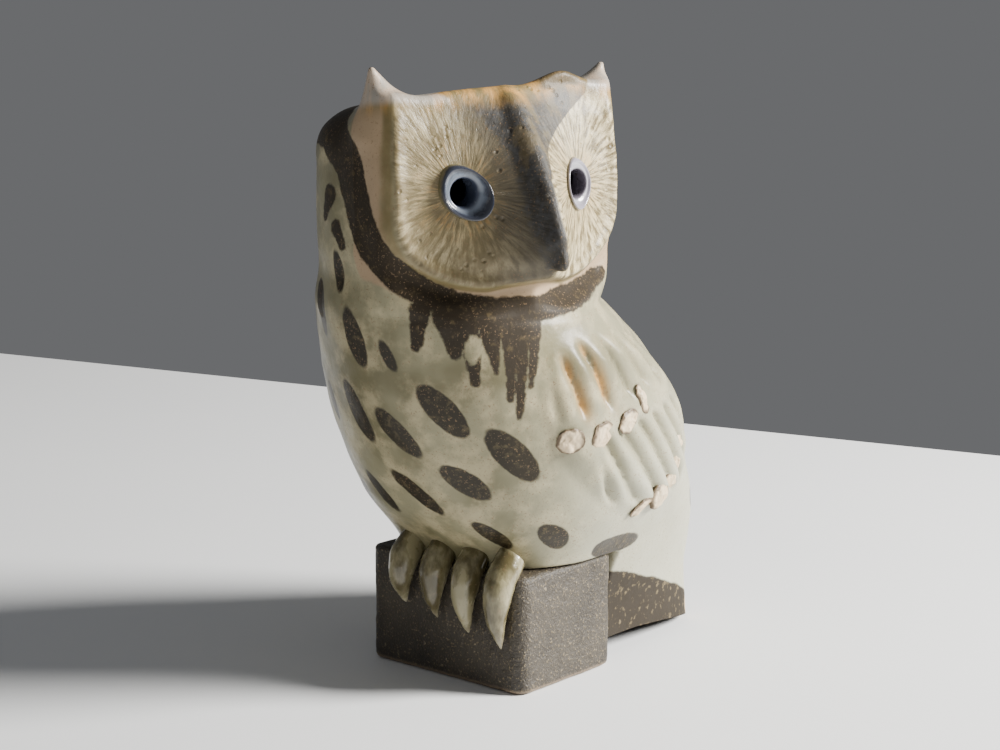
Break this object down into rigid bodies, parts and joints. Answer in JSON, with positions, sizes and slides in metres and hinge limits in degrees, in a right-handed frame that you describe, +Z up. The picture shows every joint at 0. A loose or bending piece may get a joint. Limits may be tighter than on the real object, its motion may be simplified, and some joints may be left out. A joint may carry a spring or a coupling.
{
  "type": "owl figurine",
  "caption": "Hand-built hollow stoneware owl on a perch block, head turned to its left, with pierced eyes, applied face discs, wings, feather pads and claws.",
  "frame": {"origin": "middle of the owl's footprint box, on the surface that it stands on", "axes": "+Z up, the owl's body looks along -Y, its left side is +X"},
  "size_m": [0.1187, 0.1557, 0.2079],
  "materials": {
    "dark_stoneware": "unglazed dark brown stoneware, fine pale speckle, matte",
    "tail_stoneware": "stoneware, glazed above and bare brown clay along the lower edge",
    "body_glaze": "semi-matt pale grey-green glaze with dark olive-brown oval spots",
    "head_glaze": "semi-matt pale glaze with a dark brown collar",
    "crown_glaze": "ochre to dark brown glaze",
    "face_glaze": "satin cream glaze with brown specks",
    "beak_glaze": "dark slate-brown glossy glaze",
    "right_eye_glaze": "glossy blue-grey glaze with a dark rim",
    "left_eye_glaze": "glossy pale lilac-grey glaze",
    "ear_glaze": "satin cream glaze",
    "wing_glaze": "pale glaze with amber in the grooves",
    "pad_clay": "bare pinkish buff clay",
    "claw_glaze": "glossy olive-cream glaze"
  },
  "bodies": {
    "root": {"perch_block": "dark_stoneware", "body_shell": "body_glaze", "tail_skirt": "tail_stoneware", "head_shell": "head_glaze", "crown_plate": "crown_glaze", "face_disc_right": "face_glaze", "face_disc_left": "face_glaze", "beak": "beak_glaze", "eye_ring_right": "right_eye_glaze", "eye_ring_left": "left_eye_glaze", "ear_tuft_right": "ear_glaze", "ear_tuft_left": "ear_glaze", "wing_right": "wing_glaze", "wing_left": "wing_glaze", "upper_pads_right": "pad_clay", "upper_pads_left": "pad_clay", "lower_pads_right": "pad_clay", "lower_pads_left": "pad_clay", "claw_right_outer": "claw_glaze", "claw_right_inner": "claw_glaze", "claw_left_inner": "claw_glaze", "claw_left_outer": "claw_glaze"}
  },
  "joints": []
}
